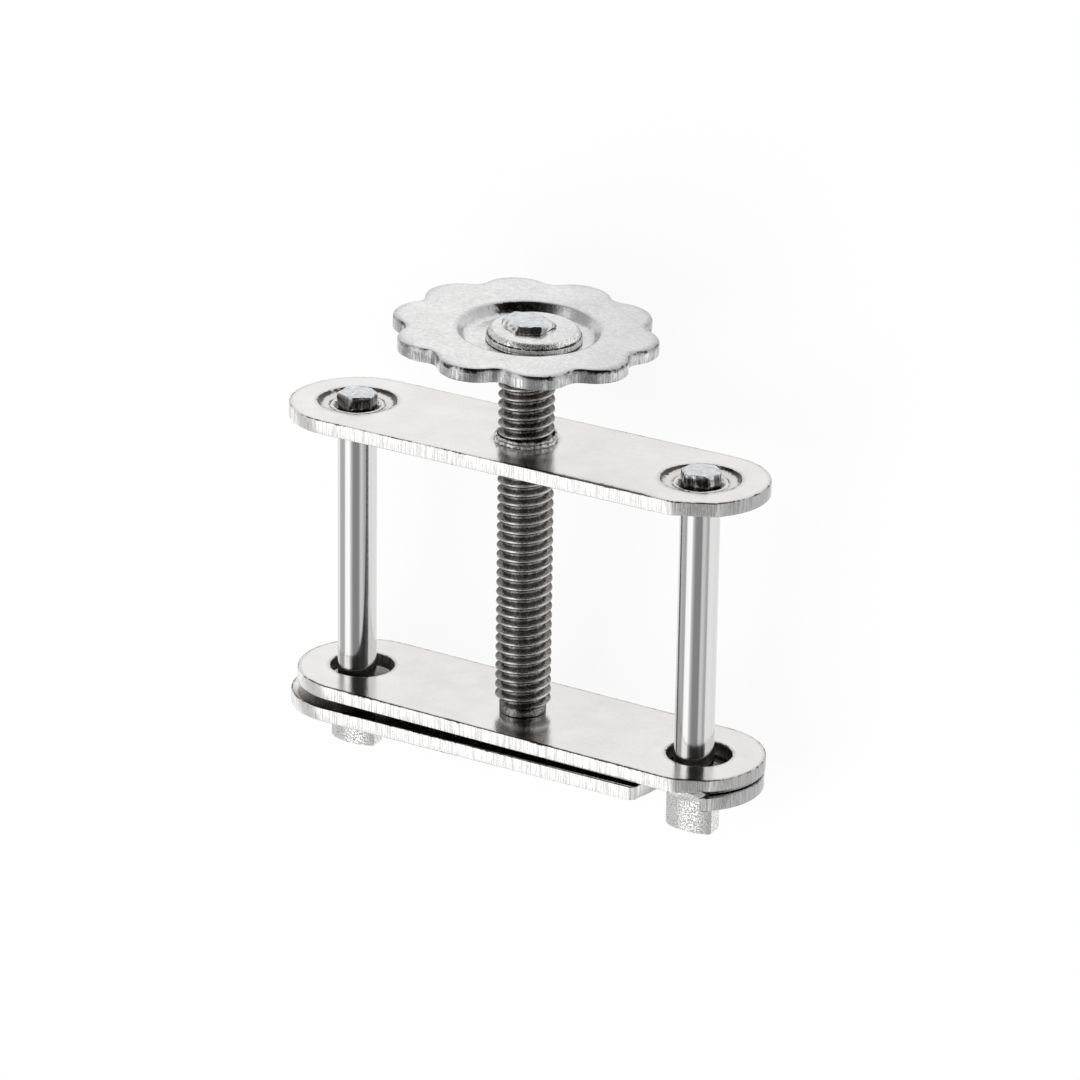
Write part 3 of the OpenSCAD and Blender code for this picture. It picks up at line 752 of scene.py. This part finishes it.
# the stamping's section, from the rim in over the dish and back out underneath, as the share of
# the way in to a radius, that radius (0 for the flat sheet), the height, and how dark it is
# painted there, as dirt and as painted shade at the rims and in the dish's bends
section = ((0, 0, -0.30, 0.8), (0.004, 0, -0.22, 1.1), (0.013, 0, -0.14, 1.2),
           (0.028, 0, -0.07, 0.95), (0.05, 0, -0.025, 0.75), (0.09, 0, -0.005, 0.45),
           (0.16, 0, 0, 0), (0.8, 0, 0, 0), (1, 5.3, 0, 0), (1, 5.15, -0.015, 0.2),
           (1, 5.02, -0.06, 0.5), (1, 4.92, -0.14, 0.7), (1, 4.60, -0.62, 0.6),
           (1, 4.50, -0.73, 0.4), (1, 4.36, -0.80, 0.2), (1, 4.15, -0.84, 0),
           (1, 3.9, -0.85, 0), (1, 2.5, -0.85, 0), (1, bore_r, -0.85, 0), (1, bore_r, -1.85, 0),
           (1, 3.5, -1.85, 0), (1, 3.9, -1.78, 0), (1, 4.7, -1.1, 0), (1, 5.0, -1.02, 0),
           (1, 5.3, -1.0, 0), (0.6, 0, -1.0, 0), (0.2, 0, -1.02, 0), (0.06, 0, -1.05, 0.6),
           (0.02, 0, -1.03, 1), (0, 0, -0.98, 1.1))
# the outline was blanked a little long, and the dish was drawn off its middle
for vert in bm.verts:
    vert.co.x = vert.co.x * blank_stretch - blank_left
rim = [vert.co.copy() for vert in bm.verts]
for n, vert in enumerate(bm.verts):
    vert[order] = n
    vert[across] = 1
    vert[rim_mark] = section[0][3]
    vert.co.z = section[0][2]
first_edges = edges = bm.edges[:]
for share, radius, z, soil_and_shade in section[1:]:
    made = bmesh.ops.extrude_edge_only(bm, edges=edges)["geom"]
    edges = [g for g in made if isinstance(g, bmesh.types.BMEdge)]
    for vert in (g for g in made if isinstance(g, bmesh.types.BMVert)):
        edge_point = rim[vert[order]]
        way = edge_point.normalized()
        inner = way * (radius or sheet_r) + (dish_way if radius != bore_r else Vector())
        vert.co = edge_point.lerp(inner, share)
        vert.co.z = z
        vert[across] = 0
        # painted shade: the dish's wall is darkened most towards its back
        back_wall_shade = max(0, way.dot(back_wall_shade_way)) ** 4 * (radius > bend_r)
        vert[rim_mark] = soil_and_shade * (0.8 + 0.9 * back_wall_shade)
for face in bmesh.ops.bridge_loops(bm, edges=first_edges + edges)["faces"]:
    face.material_index = 1
bmesh.ops.transform(bm, matrix=on_wheel, verts=bm.verts)
close_up(bm)
finish_piece(bm, "hand_wheel_stamping", "screw", "hand_wheel", [dull, stamped])

# ---- Wheel washer ----
# A thick steel washer with a step round its top, punched off centre, that spreads the riveted end
# of the screw over the floor of the dish.
washer_off = 0.5

turned_edge, tree, shader, upright = metal("turned_edge", (0.7, 0.695, 0.69), 0.2)
marks = shear_at(tree, upright)
colour = tint(tree, marks["Lines"], (0.38, 0.375, 0.37), (0.90, 0.895, 0.885))
colour = rim_soil_and_shade(tree, upright, marked(tree, "rim"), colour)
feed(tree, shader, colour, (marks["Lines"], 0.25, 0.12), marks["Lines"], 0.00002)

bm = bmesh.new()
# the third numbers darken the washer's foot and step, as dirt and as painted shade
turn_profile(bm, [(0, 0), (3.3, 0, 1.4), (3.35, 0.04, 1.3), (3.35, 0.12, 0.9), (3.35, 0.33, 0.5),
                  (3.32, 0.39, 0.7), (3.24, 0.43, 1.3), (3.23, 0.50, 1.3), (3.20, 0.58, 0.7),
                  (3.06, 0.78, 0.6), (2.98, 0.84, 0.8), (2.9, 0.85, 0), (0, 0.85)], washer_off)
bmesh.ops.translate(bm, verts=bm.verts, vec=(0, 0, -dish))
bmesh.ops.transform(bm, matrix=on_wheel, verts=bm.verts)
close_up(bm)
for face in bm.faces:
    if abs(face.normal.dot(lean @ Vector((0, 0, 1)))) < 0.85:
        face.material_index = 1
finish_piece(bm, "wheel_washer_ring", "screw", "wheel_washer",
             [dull, turned_edge])

# ---- Studio ----
# The bench is a plain white table. Two long soft boxes hang over it, left and right of a darker
# strip where the camera stands, and the rest of the room is pale.
bm = bmesh.new()
bmesh.ops.create_grid(bm, x_segments=1, y_segments=1, size=2)
table_mesh = bpy.data.meshes.new("table")
bm.to_mesh(table_mesh)
bm.free()
table = bpy.data.objects.new("table", table_mesh)
bpy.context.scene.collection.objects.link(table)

paper = bpy.data.materials.new("white_table")
paper.use_nodes = True
tree = paper.node_tree
tree.nodes.clear()
path = node(tree, "LightPath")
seen = calc(tree, "MAXIMUM", path.outputs["Is Camera Ray"], path.outputs["Is Glossy Ray"])
seen = calc(tree, "MAXIMUM", seen, path.outputs["Is Transmission Ray"])
share = calc(tree, "MULTIPLY", seen, 0.9)
matt = node(tree, "BsdfDiffuse", {"Color": (0.9, 0.9, 0.9, 1)})
glow = node(tree, "Emission", {"Color": (1, 1, 1, 1), "Strength": 1.0})
mixed = node(tree, "MixShader", {0: share, 1: matt.outputs[0], 2: glow.outputs[0]})
node(tree, "OutputMaterial", {0: mixed.outputs[0]})
table.data.materials.append(paper)

# The room as bright metal sees it, from -90 degrees at the left over the top to 90 at the right
world = bpy.data.worlds.new("studio")
bpy.context.scene.world = world
world.use_nodes = True
tree = world.node_tree
tree.nodes.clear()
place = node(tree, "TexCoord")
toward = node(tree, "SeparateXYZ", {0: place.outputs["Generated"]}).outputs
lean_angle = calc(tree, "ARCTAN2", toward["X"], toward["Z"])
ramp = node(tree, "ValToRGB", {0: fade(tree, lean_angle, -math.pi / 2, math.pi / 2)})
levels = ((-90, 0.62), (-70, 0.55), (-50, 0.50), (-42, 1.30), (-14, 1.35), (-4, 0.70), (12, 0.30),
          (46, 0.28), (54, 0.78), (66, 0.75), (80, 0.5))
elements = ramp.color_ramp.elements
for n, (angle, level) in enumerate(levels):
    stop = elements[n] if n < 2 else elements.new(1)
    stop.position = (angle + 90) / 180
    stop.color = (level / 2, level / 2, level / 2, 1)
level = calc(tree, "MULTIPLY", ramp.outputs["Color"], 2.0)
# a black screen stands beyond the wheel, beside the camera
screen_way = Vector((0.45, 0.70, 0.52)).normalized()
near_screen = node(tree, "VectorMath", {0: place.outputs["Generated"], 1: screen_way},
                   operation="DOT_PRODUCT")
screen_edge, screen_core = (math.cos(math.radians(angle)) for angle in (54, 40))
shade = fade(tree, near_screen.outputs["Value"], screen_edge, screen_core, 1.0, 0.04)
strength = calc(tree, "MULTIPLY", level, shade)
path = node(tree, "LightPath")
lit = node(tree, "Mix", {0: path.outputs["Is Glossy Ray"], 2: 0.8, 3: strength})
white = node(tree, "Mix", {0: path.outputs["Is Camera Ray"], 2: lit.outputs[0], 3: 1.0})
sky = node(tree, "Background", {"Color": (1, 1, 1, 1), "Strength": white.outputs[0]})
node(tree, "OutputWorld", {0: sky.outputs[0]})

lamp_data = bpy.data.lights.new("soft_box", "AREA")
lamp_data.shape = "RECTANGLE"
lamp_data.size = 0.5
lamp_data.size_y = 0.7
lamp_data.energy = 3.0
lamp = bpy.data.objects.new("soft_box", lamp_data)
bpy.context.scene.collection.objects.link(lamp)
lamp.location = (-0.35, -0.3, 0.6)
lamp.rotation_euler = Vector(lamp.location).to_track_quat("Z", "Y").to_euler()
lamp.visible_glossy = False

# ---- Camera ----
# It looks at the clamp as if the clamp stood upright: from the front right and a little above.
camera_data = bpy.data.cameras.new("camera")
camera = bpy.data.objects.new("camera", camera_data)
bpy.context.scene.collection.objects.link(camera)
bpy.context.scene.camera = camera
camera_data.sensor_width = 36
camera_data.lens = 185.14
camera_data.clip_start = 0.01
camera_data.clip_end = 10
azimuth, elevation, roll = (math.radians(angle) for angle in (31.429, 21.429, 0.806))
target = Vector((1.236, 0, 18.718))
distance = 386.716
back = Vector((math.sin(azimuth) * math.cos(elevation), -math.cos(azimuth) * math.cos(elevation),
               math.sin(elevation)))
facing = (Matrix.Rotation(azimuth, 3, "Z") @ Matrix.Rotation(math.pi / 2 - elevation, 3, "X")
          @ Matrix.Rotation(roll, 3, "Z"))
camera.matrix_world = (Matrix.Translation(lay_down @ (target + back * distance))
                       @ (laid @ facing).to_4x4())
bpy.context.scene.view_settings.view_transform = "Standard"
